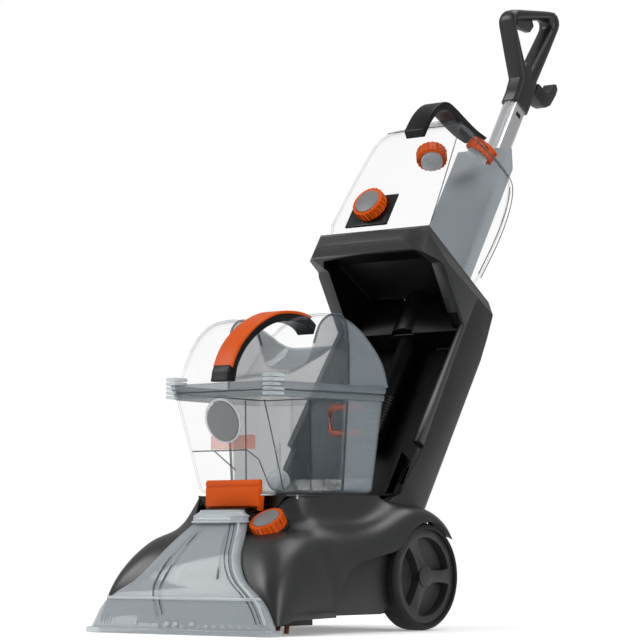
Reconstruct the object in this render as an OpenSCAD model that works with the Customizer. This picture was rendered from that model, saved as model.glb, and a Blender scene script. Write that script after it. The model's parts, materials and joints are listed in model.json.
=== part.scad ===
// Upright carpet cleaner with a lift-off dirty-water tank, a clean-water tank and a reclining handle.
// Millimetres, +Z up. The nozzle faces -Y and the machine's left side is +X.

/* [Floor nozzle] */
// Width of the suction lip across the floor
lip_w = 330; // [326:1:340]
// Height of the suction lip
lip_h = 8; // [6:1:9]
// Depth of the suction lip from front to back
lip_depth = 27; // [25:1:28]
// Wall of the clear nozzle cover
nozzle_wall = 2.4; // [1.8:0.1:3]

/* [Brush] */
// Height of the brush roll's axis above the floor
brush_z = 31; // [31:0.5:32]
// Radius of the brush roll's core
brush_core_r = 14; // [12:0.5:15]
// Radius of the circle that the tuft tips sweep
brush_tip_r = 30; // [28:0.5:30.5]
// Number of tufts along one row
tufts_per_row = 20; // [12:1:20]

/* [Wheels] */
// Radius of the rear wheels
wheel_r = 75; // [72:0.5:75]
// Width of a rear wheel
wheel_w = 38; // [34:1:38]
// Radius of the axle pins
axle_r = 6; // [5:0.5:7]

/* [Hood] */
// Wall of the moulded hood
hood_wall = 3; // [2.5:0.1:3.5]
// Height of the tank's seat on the hood
seat_z = 188; // [186:1:188]
// Inner radius of the accessory hose port
port_bore_r = 16; // [14:0.5:16.5]

/* [Dirty-water tank] */
// Wall of the dirty-water tank and its lid
tank_wall = 2.5; // [2:0.1:3]
// Height of the tank's rim above the floor
rim_z = 329; // [325:1:330]

/* [Upright] */
// Lean of the upright from vertical
recline = 32; // [30:0.5:34]
// Wall of the upright's rear shell
shell_wall = 4; // [3:0.1:4]
// Half the thickness of the grip loop
grip_half = 17; // [14:0.5:18]
// Width of the aluminium handle tube
tube_w = 27; // [24:1:28]
// Depth of the aluminium handle tube
tube_d = 36; // [34:1:37]
// Wall of the aluminium handle tube
tube_wall = 1.6; // [1.2:0.1:2]

/* [Clean-water tank] */
// Wall of the clean-water tank
clean_wall = 2.5; // [2:0.1:3]
// Number of ribs round a screw cap
cap_ribs = 20; // [16:1:24]

/* [Hidden] */
$fn = 48;

gap = 0.3;        // air between pieces that move past each other
switch_tilt = 6;  // the rocker rests tipped this far to its off side
run_fit = 0.05;   // radial clearance of a shaft in its bore

pivot_y = 352;    // the upright's pivot, behind the lip's front edge
pivot_z = 140;
wheel_y = 345;
brush_y = 92;
motor_y = 168;    // the brush motor's shaft
motor_z = 62;
tube_v = 18;      // the tube is this far behind the pivot
pulley_x = -135.5;
trigger_pin = [-54, 936];  // the trigger's pin, as (v, u)
cheek_x = 120.5;  // inner face of the chassis cheeks that carry the upright
drum_r = 52;      // the upright's pivot drum
// The grip loop's three round corners, as (v, u, radius) in the upright's own frame: v to the back, u up.
loop_outer = [[12, 862, 22], [-61, 923, 17], [18, 985, 18]];
loop_inner = [[1, 875, 6], [-55, 914, 9], [8, 971, 9]];
// The loop's top corner is the machine's rearmost point, and the origin is below the middle of the whole.
rear_y = pivot_y + loop_outer[2][1] * sin(recline) + loop_outer[2][0] * cos(recline) + loop_outer[2][2];
mid_y = rear_y / 2;

// ---- helpers ----

// Puts the machine's depth, counted from the lip's front edge, into the part's frame.
module base_frame() translate([0, -mid_y, 0]) children();

// Frame of the upright: Z runs up the handle, Y points to the back, the origin is on the pivot.
module upright_frame() base_frame() translate([0, pivot_y, pivot_z]) rotate([-recline, 0, 0]) children();

// Frame of the hose port: Z runs out of the port, the origin is the middle of the cap's face.
module port_frame() base_frame() translate([71, 104, 156]) rotate([36, 0, 0]) children();

// Stands a (y, z) outline up and gives it a width across the machine, centred on x = 0.
module across(w) rotate([90, 0, 90]) translate([0, 0, -w / 2]) linear_extrude(w) children();

// The same from x0 to x1.
module from_to(x0, x1) rotate([90, 0, 90]) translate([0, 0, x0]) linear_extrude(x1 - x0) children();

// Stands an (x, z) outline up and gives it a depth from y0 to y1.
module along(y0, y1) translate([0, y1, 0]) rotate([90, 0, 0]) linear_extrude(y1 - y0) children();

// Both halves of an outline that is given for x > 0, from its lowest point to its highest.
function both(half) = concat(half, [for (i = [len(half) - 1:-1:0]) [-half[i][0], half[i][1]]]);

// A cylinder along x.
module rod(x0, x1, r, fn = 48) translate([x0, 0, 0]) rotate([0, 90, 0]) cylinder(x1 - x0, r, r, $fn = fn);

// Outline at height h: half width wf at the front y0 and wb at the back y1, with corners of radius r.
function ring(h, wf, wb, y0, y1, r, n = 4) = [
    for (c = [0:3], i = [0:n])
        let (a = 90 * c + 90 * i / n, w = c < 2 ? wb : wf, sx = c == 0 || c == 3 ? 1 : -1)
        [sx * (w - r) + r * cos(a), (c < 2 ? y1 - r : y0 + r) + r * sin(a), h]
];

// Skin over a stack of rings, closed at both ends.
module loft(rings) {
    n = len(rings[0]);
    last = (len(rings) - 1) * n;
    polyhedron(
        [for (r = rings) each r],
        [
            [for (i = [0:n - 1]) i],
            [for (i = [n - 1:-1:0]) last + i],
            for (k = [0:len(rings) - 2], i = [0:n - 1])
                let (a = k * n + i, b = k * n + (i + 1) % n)
                each [[a, a + n, b + n], [a, b + n, b]]
        ]
    );
}

// Knurled screw cap: a skirt with ribs, its top at z = 0 and a recess for a flat disc.
module knurled_cap(r, h, hollow_r, hollow_h) {
    difference() {
        union() {
            translate([0, 0, -h]) cylinder(h - 1, r - 1, r - 1);
            for (i = [0:cap_ribs - 1]) rotate(i * 360 / cap_ribs)
                translate([r - 1.4, -1.5, -h]) cube([1.4, 3, h - 1.6]);
        }
        translate([0, 0, -h - 1]) cylinder(hollow_h + 1, hollow_r, hollow_r);
        translate([0, 0, -3]) cylinder(4, r - 6, r - 6);
    }
}

// ---- floor nozzle ----

// The clear cover from the floor up, as [z, half width, front y, back y].
nozzle_steps = [
    [lip_h, 162, 2, 26], [25, 153, 4, 28], [44, 139, 7, 32], [57, 121, 11, 36], [70, 99, 19, 42],
    [86, 83, 27, 50], [105, 70, 39, 62], [122, 61, 54, 77], [140, 50, 72, 96], [152, 41, 84, 108]
];

// Rings over those steps, made smaller all round by inset and with the two ends moved out by lift.
function nozzle_rings(inset, lift) = [
    for (i = [0:9]) let (s = nozzle_steps[i], z = s[0] + (i == 0 ? -lift : i == 9 ? lift : 0))
        ring(z, s[1] - inset, s[1] - inset, s[2] + inset, s[3] - inset, 9)
];

module nozzle_cover() color("lightcyan", 0.5) base_frame() difference() {
    loft(nozzle_rings(0, 0));
    loft(nozzle_rings(nozzle_wall, 1));
}

module nozzle_lip() color("lightcyan", 0.6) base_frame() difference() {
    from_to(-lip_w / 2, lip_w / 2) polygon([
        [1.5, 0], [lip_depth, 0], [lip_depth, lip_h], [2, lip_h], [0, lip_h - 2], [0, 1.5]
    ]);
    translate([-150, 9, -1]) cube([300, 10, lip_h + 2]);
}

// Dark duct from the nozzle's neck to the tank's inlet, with the latch's two hinge lugs.
module nozzle_duct() color("#202123") base_frame() difference() {
    union() {
        translate([-39, 86, 152.3]) cube([78, 23.7, 9]);
        from_to(-36, 36) polygon([[96, 161.3], [109.7, 161.3], [113, 164], [113, 170], [104, 170], [96, 166]]);
        for (x = [-42, 37]) from_to(x, x + 5) polygon([
            [98, 161.3], [109.7, 161.3], [130, 166], [128, 178], [118.8, 178], [118.8, 168], [110, 164.5], [98, 164.5]
        ]);
    }
    translate([-36, 88.5, 151]) cube([72, 18.7, 9]);
    from_to(-33, 33) polygon([[98.5, 155], [107, 155], [107, 162.5], [110.5, 165], [110.5, 172], [106, 172], [98.5, 165]]);
    translate([0, 122, 172]) rod(-50, 50, 2.5 + run_fit, 32);
}

// ---- brush ----

// Cover over the brush roll, with a bearing plate at each end.
module brush_housing() color("#26272a") base_frame() translate([0, brush_y, 0]) difference() {
    translate([0, 0, brush_z]) union() {
        rod(-122, 134, brush_tip_r + 6.5, 96);
        translate([-122, -brush_tip_r - 6.5, 12 - brush_z]) cube([256, 2 * brush_tip_r + 13, brush_z - 12]);
    }
    translate([0, 0, brush_z]) {
        rod(-119, 130.5, brush_tip_r + 3.5, 96);
        translate([-119, -brush_tip_r - 3.5, -40]) cube([249.5, 2 * brush_tip_r + 7, 40]);
        rod(-130, 140, 5 + run_fit);
    }
    translate([-200, -60, -20]) cube([400, 120, 32]);
}

module brush_core() color("#2a2b2d") base_frame() translate([0, brush_y, brush_z]) {
    rod(-117, 128, brush_core_r);
    rod(-127.5, -117, 5);
    rod(128, 133.5, 5);
    rod(pulley_x - 1, -127.5, 12);
}

// Four helical rows of tufts, each a short round peg set on the core.
module brush_tufts() color("#b5431d") base_frame() translate([0, brush_y, brush_z])
    for (row = [0:3], i = [0:tufts_per_row - 1])
        translate([-111 + i * 233 / (tufts_per_row - 1), 0, 0]) rotate([90 * row + i * 9, 0, 0])
            translate([0, 0, brush_core_r]) cylinder(brush_tip_r - brush_core_r, 3.4, 3.4);

module brush_motor() color("#b9bbbd") base_frame() translate([0, motor_y, motor_z]) difference() {
    union() {
        rod(-112, -40, 24);
        rod(-40, -34, 9);
        translate([-112, -14, -34]) cube([60, 28, 12]);
    }
    rod(-113, -30, 3 + run_fit);
    rod(-104, -46, 20);
}

// The belt pulley and the armature on one steel shaft.
module motor_pulley() color("#b9bbbd") base_frame() translate([0, motor_y, motor_z]) {
    rod(-127.5, -36, 3);
    rod(-100, -50, 17);
    rod(pulley_x - 1, -127.5, 9);
}

// Closed belt with a little air round both pulleys.
module drive_belt() color("#1b1b1b") base_frame() from_to(pulley_x, -128.5) difference() {
    hull() {
        translate([brush_y, brush_z]) circle(12 + gap + 2, $fn = 32);
        translate([motor_y, motor_z]) circle(9 + gap + 2, $fn = 32);
    }
    hull() {
        translate([brush_y, brush_z]) circle(12 + gap, $fn = 32);
        translate([motor_y, motor_z]) circle(9 + gap, $fn = 32);
    }
}

// Water pipe behind the nozzle with five spray jets.
module spray_bar() color("#c8c9c7") base_frame() translate([0, 48.5, 66]) {
    rod(-112, 112, 4.5);
    for (x = [-96:48:96]) translate([x, 0, -9]) cylinder(7, 2, 3);
}

module solution_pump() color("#6f7376") base_frame() translate([62, 215, 28]) {
    translate([-22, -16, 0]) cube([44, 32, 30]);
    translate([0, 0, 30]) cylinder(12, 12, 12);
    translate([0, 0, 42]) cylinder(10, 4, 4);
}

// ---- chassis and hood ----

cheek = [[172, 24], [400, 24], [400, 60], [386, 160], [372, 172], [332, 172], [318, 160], [300, 84], [172, 60]];

module chassis() color("#1d1e20") base_frame() difference() {
    union() {
        for (s = [-1, 1]) {
            from_to(s < 0 ? -cheek_x - 3 : cheek_x, s < 0 ? -cheek_x : cheek_x + 3) polygon(cheek);
            translate([0, wheel_y, wheel_r]) rod(s < 0 ? -cheek_x : 96, s < 0 ? -96 : cheek_x, 13);
        }
        translate([-cheek_x, 172, 24]) cube([2 * cheek_x, 228, 4]);
        translate([-cheek_x, 396, 28]) cube([2 * cheek_x, 4, 50]);
        translate([-48, 172, 28]) cube([48 + cheek_x, 4, 8]);
        for (x = [-117, -58]) from_to(x, x + 5) polygon([[400, 42], [416, 44], [416, 60], [400, 64]]);
    }
    translate([0, wheel_y, wheel_r]) rod(-130, 130, axle_r + run_fit);
    translate([0, 409, 52]) rod(-118, -50, 4 + run_fit);
}

module axle_pins() color("#9b9da0") base_frame() translate([0, wheel_y, wheel_r])
    for (s = [-1, 1]) rod(s < 0 ? -159 : 98, s < 0 ? -98 : 159, axle_r);

// Two stub shafts on the cheeks that the upright turns on.
module pivot_trunnions() color("#3a3b3d") base_frame() translate([0, pivot_y, pivot_z])
    for (s = [-1, 1]) rod(s < 0 ? -cheek_x : 104, s < 0 ? -104 : cheek_x, 14);

hood_side = [
    [34, 27], [25, 40], [21, 48], [27, 74], [41, 100], [62, 122], [82, 133], [104, 146], [122, seat_z - 4],
    [128, seat_z], [300, seat_z], [318, 160], [400, 150], [411, 143], [411, 40], [404, 32], [300, 32],
    [288, 112], [259, 104], [204, 94], [171, 78], [156, 46], [145, 24]
];
hood_half = [
    [0, 20], [162, 20], [163, 60], [160, 96], [150, 126], [134, 138], [118, 152], [108, 172], [98, seat_z],
    [0, seat_z]
];

// An outline as it is, or made smaller all round by inset.
module outline(points, inset) {
    if (inset == 0) polygon(points);
    else offset(delta = -inset) polygon(points);
}

// The hood's outer form, or its inside when inset is the wall.
module hood_form(inset) intersection() {
    across(2 * (163 - inset)) outline(hood_side, inset);
    along(0, 430) outline(both(hood_half), inset);
}

// The arch over one wheel, on the side s, still solid down to the axle.
module fender(s) from_to(s < 0 ? -163 : 124.2, s < 0 ? -124.2 : 163) intersection() {
    translate([wheel_y, wheel_r]) circle(97, $fn = 96);
    polygon([[270, 130], [250, 190], [412, 190], [412, 128], [345, 90]]);
}

module hood() color("#55575a") difference() {
    union() {
        base_frame() difference() {
            hood_form(0);
            difference() {
                hood_form(hood_wall);
                // floor of the tank's seat
                translate([-98, 126, seat_z - 3]) cube([196, 172, 10]);
            }
            // open below, inside the side panels
            from_to(-159, 159) polygon([
                [40, -5], [40, 36], [141, 36], [150, 52], [167, 85], [202, 100], [258, 110], [291, 117], [291, -5]
            ]);
            // room for the cheeks and the upright
            translate([-124.2, 290, 0]) cube([248.4, 140, 300]);
        }
        for (s = [-1, 1]) base_frame() fender(s);
        intersection() {
            base_frame() hood_form(0.05);
            port_frame() translate([0, 0, -25]) cylinder(60, 31, 31);
        }
    }
    base_frame() {
        for (x = [-170, 124.2]) translate([x, wheel_y, wheel_r]) rod(0, 45.8, 81, 96);
        translate([0, pivot_y, pivot_z]) rod(-124.2, 124.2, drum_r + 6, 96);
        // the nozzle and its neck
        intersection() {
            along(-10, 118) polygon(both(concat([[166, -10]], [for (s = nozzle_steps) [s[1] + 1.5, s[0]]], [[42.5, 190]])));
            across(340) polygon(concat(
                [[-20, -20], [27.5, -20]], [for (s = nozzle_steps) [s[3] + 1.5, s[0]]], [[110, 200], [-20, 200]]
            ));
        }
        translate([-49, 84, 151]) cube([98, 44, 60]);
        for (s = [-1, 1], y = [150, 280]) translate([s * 88, y, seat_z - 20]) cylinder(30, 2.2, 2.2);
    }
    port_frame() {
        translate([0, 0, -22]) cylinder(60, 28.5, 28.5);
        translate([0, 0, -60]) cylinder(60, 19.3, 19.3);
    }
}

// Tapping screws through the tank's seat.
module hood_screws() color("#c9cacc") base_frame() for (s = [-1, 1], y = [150, 280])
    translate([s * 88, y, seat_z - 14]) cylinder(13.4, 2, 2);

module hose_port() color("#1f2022") port_frame() difference() {
    union() {
        translate([0, 0, -54]) cylinder(46, 19, 19);
        translate([0, 0, -22]) cylinder(5, 27, 27);
    }
    translate([0, 0, -55]) cylinder(50, port_bore_r, port_bore_r);
}

module port_cap() color("#d95a1c") port_frame() knurled_cap(25, 16.4, 19.4, 11);

module port_cap_disc() color("#8f9090") port_frame() translate([0, 0, -3]) cylinder(3, 18.8, 18.8);

module tank_latch() color("#e2621f") base_frame() {
    difference() {
        union() {
            from_to(-48, 48) polygon([
                [118, 171], [115, 172.5], [115, 205], [118, 208.5], [122, 208.5], [124, 206], [124, 190], [118, 186]
            ]);
            for (x = [-48, 43.5]) from_to(x, x + 4.5)
                polygon([[118, 166], [126, 166], [128, 186], [117.5, 186]]);
        }
        translate([-50, 113, 198]) cube([100, 3, 3]);
    }
    translate([0, 122, 172]) rod(-43.5, 43.5, 2.5, 32);
}

// Foot pedal that frees the handle's lock, on its own shaft behind the rear wall.
module recline_pedal() color("#3b3c3e") base_frame() {
    translate([0, 409, 52]) {
        rod(-116, -54, 4);
        rod(-111.5, -58.5, 6.5);
    }
    from_to(-110, -60) polygon([[409, 57], [446, 66], [447, 62], [414, 50]]);
}

// ---- wheels ----

// Soft tyre, from its inner face at x = 0 outwards.
module tyre_form() rotate([0, 90, 0]) rotate_extrude($fn = 120) polygon([
    [58, 0], [66, 0], [wheel_r - 2, 4], [wheel_r, 10], [wheel_r, wheel_w - 10],
    [wheel_r - 2, wheel_w - 4], [66, wheel_w], [58, wheel_w]
]);

// Moulded hub with three lens-shaped pockets in its outer face.
module hub_form() rotate([0, 90, 0]) difference() {
    union() {
        cylinder(wheel_w - 4, 57.9, 57.9, $fn = 120);
        translate([0, 0, 1]) cylinder(wheel_w - 3, 15, 15);
    }
    translate([0, 0, -1]) cylinder(wheel_w + 2, axle_r + run_fit, axle_r + run_fit);
    translate([0, 0, -1]) difference() {
        cylinder(12, 52, 52);
        cylinder(12, 14, 14);
    }
    for (i = [0:2]) rotate(30 + 120 * i) translate([33, 0, wheel_w - 18]) linear_extrude(20) intersection() {
        translate([-34, 0]) circle(50, $fn = 64);
        translate([34, 0]) circle(50, $fn = 64);
    }
}

module wheel_place(s) base_frame() translate([s * 125, wheel_y, wheel_r]) mirror([s < 0 ? 1 : 0, 0, 0]) children();

module tyre_left() color("#17181a") wheel_place(1) tyre_form();
module tyre_right() color("#17181a") wheel_place(-1) tyre_form();
module hub_left() color("#4a4c50") wheel_place(1) hub_form();
module hub_right() color("#4a4c50") wheel_place(-1) hub_form();

// ---- dirty-water tank ----

// Outline of the tank at height h; inset makes it smaller all round.
function tank_ring(h, inset, fill = 0) =
    let (t = (h - seat_z) / (rim_z - seat_z))
    ring(h, 78 + 16 * t - inset - fill, 109 + 5 * t - inset - fill, 129 - 37 * t + inset + fill,
        297 + 21 * t - inset - fill, 14);

module dirty_tank() color("lightcyan", 0.4) base_frame() {
    difference() {
        union() {
            loft([tank_ring(seat_z + 2.3, 0, 5), tank_ring(seat_z + 8, 0), tank_ring(rim_z - 10, 0)]);
            loft([tank_ring(rim_z - 10, -1), tank_ring(rim_z, -2)]);
        }
        loft([tank_ring(seat_z + 5, tank_wall, 5), tank_ring(seat_z + 11, tank_wall), tank_ring(rim_z + 4, tank_wall)]);
    }
    // the upright walls that carry the standpipe
    for (s = [-1, 1]) translate([s * 30 - 1, 245, seat_z + 4]) cube([2, 45, 90]);
}

module tank_gasket() color("#2d2f31") base_frame() difference() {
    loft([tank_ring(rim_z, -1), tank_ring(rim_z + 1.5, -1)]);
    loft([tank_ring(rim_z - 1, tank_wall), tank_ring(rim_z + 4, tank_wall)]);
}

// Plain round badge on the tank's front.
module tank_badge() color("#86888a") base_frame() translate([0, 98.3, 289]) rotate([104.2, 0, 0])
    cylinder(3, 28, 28, $fn = 64);

module standpipe() color("lightcyan", 0.5) base_frame() translate([0, 262, 0]) difference() {
    union() {
        translate([-29, -14, seat_z + 12]) cube([58, 34, 12]);
        translate([0, 3, seat_z + 24]) cylinder(118, 17, 15);
    }
    translate([0, 3, seat_z + 20]) cylinder(130, 14.5, 13);
}

// Ball float that rises in front of the standpipe.
module float() color("#d96a3a") base_frame() translate([0, 214, 0]) {
    translate([0, 0, seat_z + 21.5]) sphere(16);
    translate([0, 0, seat_z + 35]) cylinder(40, 3, 3);
}

lid_side = [
    [97, rim_z + 1.8], [103, rim_z + 12], [111, 352], [117, 378], [125, 400], [143, 420], [169, 435], [200, 441],
    [222, 443], [248, 438], [272, 428], [300, 404], [316, 381], [320, rim_z + 14], [320, rim_z + 1.8]
];
lid_half = [
    [113.5, 300], [113.5, 346], [112, 380], [106, 414], [96, 434], [82, 443.2], [66, 441], [52, 426], [42, 400],
    [36, 380], [26, 370]
];
lid_plan = both([[90, 80], [92, 98], [104, 160], [112, 228], [113.5, 330]]);

module lid_form(inset) intersection() {
    across(240) outline(lid_side, inset);
    along(80, 340) outline(both(lid_half), inset);
    translate([0, 0, 300]) linear_extrude(160) outline(lid_plan, inset);
}

module tank_lid() color("lightcyan", 0.4) base_frame() difference() {
    union() {
        lid_form(0);
        loft([tank_ring(rim_z + 1.8, -2), tank_ring(rim_z + 11, -1)]);
    }
    difference() {
        lid_form(tank_wall);
        translate([-150, 60, rim_z]) cube([300, 300, 6]);
    }
    loft([tank_ring(rim_z - 1, tank_wall), tank_ring(rim_z + 9, tank_wall + 3)]);
}

// Curve of the lid's handle over the valley between the two lobes, as (y, z) of its outer face.
handle_curve = [[94, 366], [121, 405], [153, 429], [195, 446], [239, 449], [268, 444]];
function inward(p, d) = let (c = [190, 300], n = c - p) p + d * n / norm(n);

// The black inner half of the handle and its two feet.
module lid_handle_core() color("#1c1d1f") base_frame() from_to(-15, 15) polygon(concat(
    [[86, 342.6], [88, 352], [90, 362]],
    [for (p = handle_curve) inward(p, 3.4)],
    [[282, 432], [276, 380], [262, 372], [262, 420]],
    [for (i = [len(handle_curve) - 2:-1:0]) inward(handle_curve[i], 15)],
    [[103, 342.6]]
));

// The orange outer strap.
module lid_handle_grip() color("#e2621f") base_frame() from_to(-17.5, 17.5) polygon(concat(
    handle_curve,
    [for (i = [len(handle_curve) - 1:-1:0]) inward(handle_curve[i], 3)]
));

// ---- upright ----

shell_side = [
    [30, -40], [50, -10], [47, 40], [43, 74], [38, 194], [34, 269], [12, 384],
    [-32.7, 384], [-32.7, 120], [-36, 36], [-50, 8], [-42, -28], [-10, -50]
];
shell_half = [
    [0, -60], [118.8, -60], [118.8, 62], [124, 90], [124.5, 124], [120, 269], [118.5, 330], [120, 386], [0, 386]
];
shell_plan = both([[0, -34], [125, -34], [125, 4], [116, 26], [96, 38], [0, 60]]);
spine_plan = [[-50, -13], [50, -13], [50, -6], [24, 40], [-24, 40], [-50, -6]];

// Outer form of the upright's casing, or its inside when inset is the wall.
module casing_form(inset) intersection() {
    across(250) outline(shell_side, inset);
    along(-60, 70) outline(both(shell_half), inset);
    translate([0, 0, -70]) linear_extrude(500) outline(shell_plan, inset);
}

// Frame of the mains lead's gland: Z runs out of the back.
module gland_frame() upright_frame() translate([-58, 36.4, 250]) rotate([-90, 0, 0]) children();

module rear_shell() color("#232427") upright_frame() difference() {
    union() {
        casing_form(0);
        rod(-118.8, 118.8, drum_r, 96);
        // keel down the back, under the spine
        translate([0, 0, 230]) linear_extrude(154) polygon(spine_plan);
    }
    difference() {
        casing_form(shell_wall);
        rod(-130, 130, drum_r - 0.02, 96);
    }
    translate([0, 0, 236]) linear_extrude(143) polygon([[-44, -10], [44, -10], [22, 36.5], [-22, 36.5]]);
    translate([0, -4, 325]) cylinder(65, 34, 34);
    // the open cavity in front, for the parked tank
    translate([-114, -60, 56]) cube([228, 70, 270]);
    rod(-103, 103, 44);
    rod(-130, 130, 14 + run_fit);
    translate([-103, -60, -60]) cube([206, 60, 116]);
    translate([-58, 20, 250]) rotate([-90, 0, 0]) cylinder(30, 7, 7);
}

// Light frame round the cavity's mouth, with the crown that carries the clean-water tank.
bezel_side = [
    [-33, 122], [-44, 122], [-40, 330], [-128, 379], [-174, 371], [-184, 384], [-182, 402], [-167, 419],
    [-22, 409], [8, 407], [12, 384.3], [-33, 384.3]
];
bezel_half = [
    [0, 100], [124.5, 110], [120.5, 269], [118.5, 330], [120, 384], [105, 408], [101.5, 420], [0, 420]
];
bezel_plan = [
    [0, -192], [58, -188], [88, -180], [106, -164], [113, -142], [121, -116], [125, -98], [125, 60], [0, 60]
];

module bezel() color("#6a6c6f") upright_frame() difference() {
    intersection() {
        across(250) polygon(bezel_side);
        along(-210, 70) polygon(both(bezel_half));
        translate([0, 0, 100]) linear_extrude(340) polygon(both(bezel_plan));
    }
    translate([-111, -150, 90]) cube([222, 150, 240]);
    // the crown is hollow from below, open to the cavity
    translate([0, 0, 300]) linear_extrude(98) polygon(both([[97, -30], [97, -140], [82, -160], [0, -170]]));
    // seat of the shelf and the tank, and the hollow under them
    translate([-99.8, -163.4, 404]) cube([199.6, 200, 30]);
    across(188) polygon([[-118, 383], [-46, 343], [-35.5, 343], [-35.5, 389], [4, 389], [4, 405], [-118, 405]]);
    translate([0, -4, 325]) cylinder(95, 34, 34);
    translate([-51, 0, 380]) cube([102, 50, 50]);
}

module tank_shelf() color("#45474a") upright_frame() difference() {
    translate([-99, -162.6, 404]) cube([198, 146, 8.5]);
    translate([-92, -156, 408]) cube([184, 132, 10]);
}

// Back wall of the cavity with its ribs, and the shelf over the duct.
module cavity_liner() color("#0f1011") upright_frame() difference() {
    union() {
        translate([-112, 10.2, 58]) cube([224, 2.6, 266]);
        for (x = [-90, -60, 60, 90]) translate([x - 1.5, -4, 62]) cube([3, 15, 70]);
        translate([-112, -1, 58]) cube([224, 12, 4]);
        translate([-112, -28.5, 326.5]) cube([224, 34.5, 3]);
        for (x = [-112, 109]) translate([x, 2, 58]) cube([3, 10, 269]);
    }
    // sight holes low in the wall
    for (x = [-78, 78]) translate([x - 9, 5, 80]) cube([18, 20, 34]);
    translate([0, -8, 320]) cylinder(20, 17, 17);
}

module motor_housing() color("#1a1b1c") upright_frame() translate([0, -4, 333]) difference() {
    cylinder(68, 33, 33);
    translate([0, 0, 3]) cylinder(80, 30.5, 30.5);
}

module vacuum_motor() color("#a9abad") upright_frame() translate([0, -4, 336.5]) {
    cylinder(24, 30, 30);
    translate([0, 0, 24]) cylinder(32, 22, 22);
    translate([0, 0, 56]) cylinder(6, 6, 6);
}

// Suction duct down the cavity, ending in a ribbed cuff.
module air_duct() color("#161718") upright_frame() translate([0, -8, 0]) difference() {
    union() {
        translate([0, 0, 150]) cylinder(178, 16, 16);
        for (z = [158:10:218]) translate([0, 0, z]) cylinder(5, 17.6, 17.6);
        translate([0, 0, 142]) cylinder(10, 17.6, 17.6);
    }
    translate([0, 0, 141]) cylinder(200, 13, 13);
}

// Housing behind the clean-water tank, wide in front and tapered back to the tube.
module spine_cover() color("#7f8487") upright_frame() difference() {
    translate([0, 0, 384.4]) linear_extrude(312) polygon(spine_plan);
    translate([0, 0, 380]) linear_extrude(313) polygon([
        [-47, -10], [47, -10], [47, -7], [22, 37], [-22, 37], [-47, -7]
    ]);
    // clear of the crown, the shelf and the motor
    translate([-60, -20, 380]) cube([120, 33, 33]);
    translate([0, -4, 370]) cylinder(40, 34, 34);
    translate([0, tube_v, 690]) rounded_bar(tube_w + 2 * gap, tube_d + 2 * gap, 9, 20);
    // the switch's window
    translate([-12.3, 30, 558]) cube([24.6, 20, 20]);
    translate([0, 38.5, 568]) rod(-14, 14, 1 + run_fit, 32);
}

// Upright bar of rounded-rectangle section.
module rounded_bar(w, d, r, h) linear_extrude(h) union() {
    square([w - 2 * r, d], center = true);
    square([w, d - 2 * r], center = true);
    for (x = [-1, 1], y = [-1, 1]) translate([x * (w / 2 - r), y * (d / 2 - r)]) circle(r);
}

module handle_tube() color("#d9dadb") upright_frame() translate([0, tube_v, 420]) difference() {
    rounded_bar(tube_w, tube_d, 9, 428);
    translate([0, 0, -1]) rounded_bar(tube_w - 2 * tube_wall, tube_d - 2 * tube_wall, 9 - tube_wall, 432);
}

// Hull of round corners given as (v, u, radius).
module corners(list) hull() for (c = list) translate([c[0], c[1]]) circle(c[2], $fn = 64);

// The triangular grip with its stem, which the tube goes into.
module grip_loop() color("#303133") upright_frame() difference() {
    union() {
        across(2 * grip_half) difference() {
            corners(loop_outer);
            corners(loop_inner);
        }
        translate([0, tube_v, 806]) rounded_bar(tube_w + 7, tube_d + 5, 9, 58);
    }
    translate([0, tube_v, 800]) rounded_bar(tube_w + 2 * gap, tube_d + 2 * gap, 9, 48.5);
    translate([0, 26, 862]) rotate([-90, 0, 0]) cylinder(20, 6 + run_fit, 6 + run_fit);
    // the trigger's slot
    from_to(-5.2, 5.2) polygon([[-63, 930], [-56, 943], [-27, 966], [-8, 960], [-8, 930], [-40, 915], [-60, 915]]);
    translate([0, trigger_pin[0], trigger_pin[1]]) rod(-11, 11, 2 + run_fit, 32);
}

// Finger trigger under the top bar, on its own pin.
module trigger() color("#77797c") upright_frame() {
    from_to(-4.6, 4.6) polygon([[-50, 923], [-57, 932], [-53, 940], [-24, 957], [-14, 950], [-17, 935], [-38, 924]]);
    translate([0, trigger_pin[0], trigger_pin[1]]) rod(-10.5, 10.5, 2, 32);
}

// Rod inside the tube that carries the trigger's pull down to the spray valve.
module push_rod() color("#b4b6b8") upright_frame() translate([0, tube_v - 8, 440]) cylinder(400, 2.2, 2.2);

// Cord hook behind the stem; it swivels to drop the cord.
module upper_cord_hook() color("#2b2c2e") upright_frame() {
    translate([0, 28, 862]) rotate([-90, 0, 0]) cylinder(14, 6, 6);
    from_to(-10, 10) polygon([
        [40.5, 850], [64, 848], [76, 853], [84, 864], [88, 888], [87, 900], [80, 905], [73, 900], [72, 884],
        [66, 876], [40.5, 874]
    ]);
}

// Fixed hook low on the rear shell.
module lower_cord_hook() color("#2b2c2e") upright_frame() from_to(-11, 11) polygon([
    [40.3, 330], [54, 330], [74, 322], [82, 308], [76, 304], [66, 316], [40.3, 316]
]);

module power_switch() color("#7d7f82") upright_frame() translate([0, 38.5, 568]) rotate([-switch_tilt, 0, 0]) {
    from_to(-11.5, 11.5) polygon([[-1, -7], [3, -7.5], [6, 0], [3, 7.5], [-1, 7]]);
    rod(-13, 13, 1, 32);
}

// Round gland for the mains lead, through the rear shell.
module cord_gland() color("#1a1a1b") gland_frame() difference() {
    union() {
        translate([0, 0, -9]) cylinder(9.5, 6.8, 6.8);
        cylinder(3, 12, 12);
        translate([0, 0, 2.9]) cylinder(12, 8, 6);
    }
    translate([0, 0, -10]) cylinder(30, 4, 4);
}

// ---- clean-water tank ----

// Outline of the tank at height u; inset makes it smaller all round.
function clean_ring(u, wf, wb, v0, v1, r, inset) = ring(u, wf - inset, wb - inset, v0 + inset, v1 - inset, r);

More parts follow.
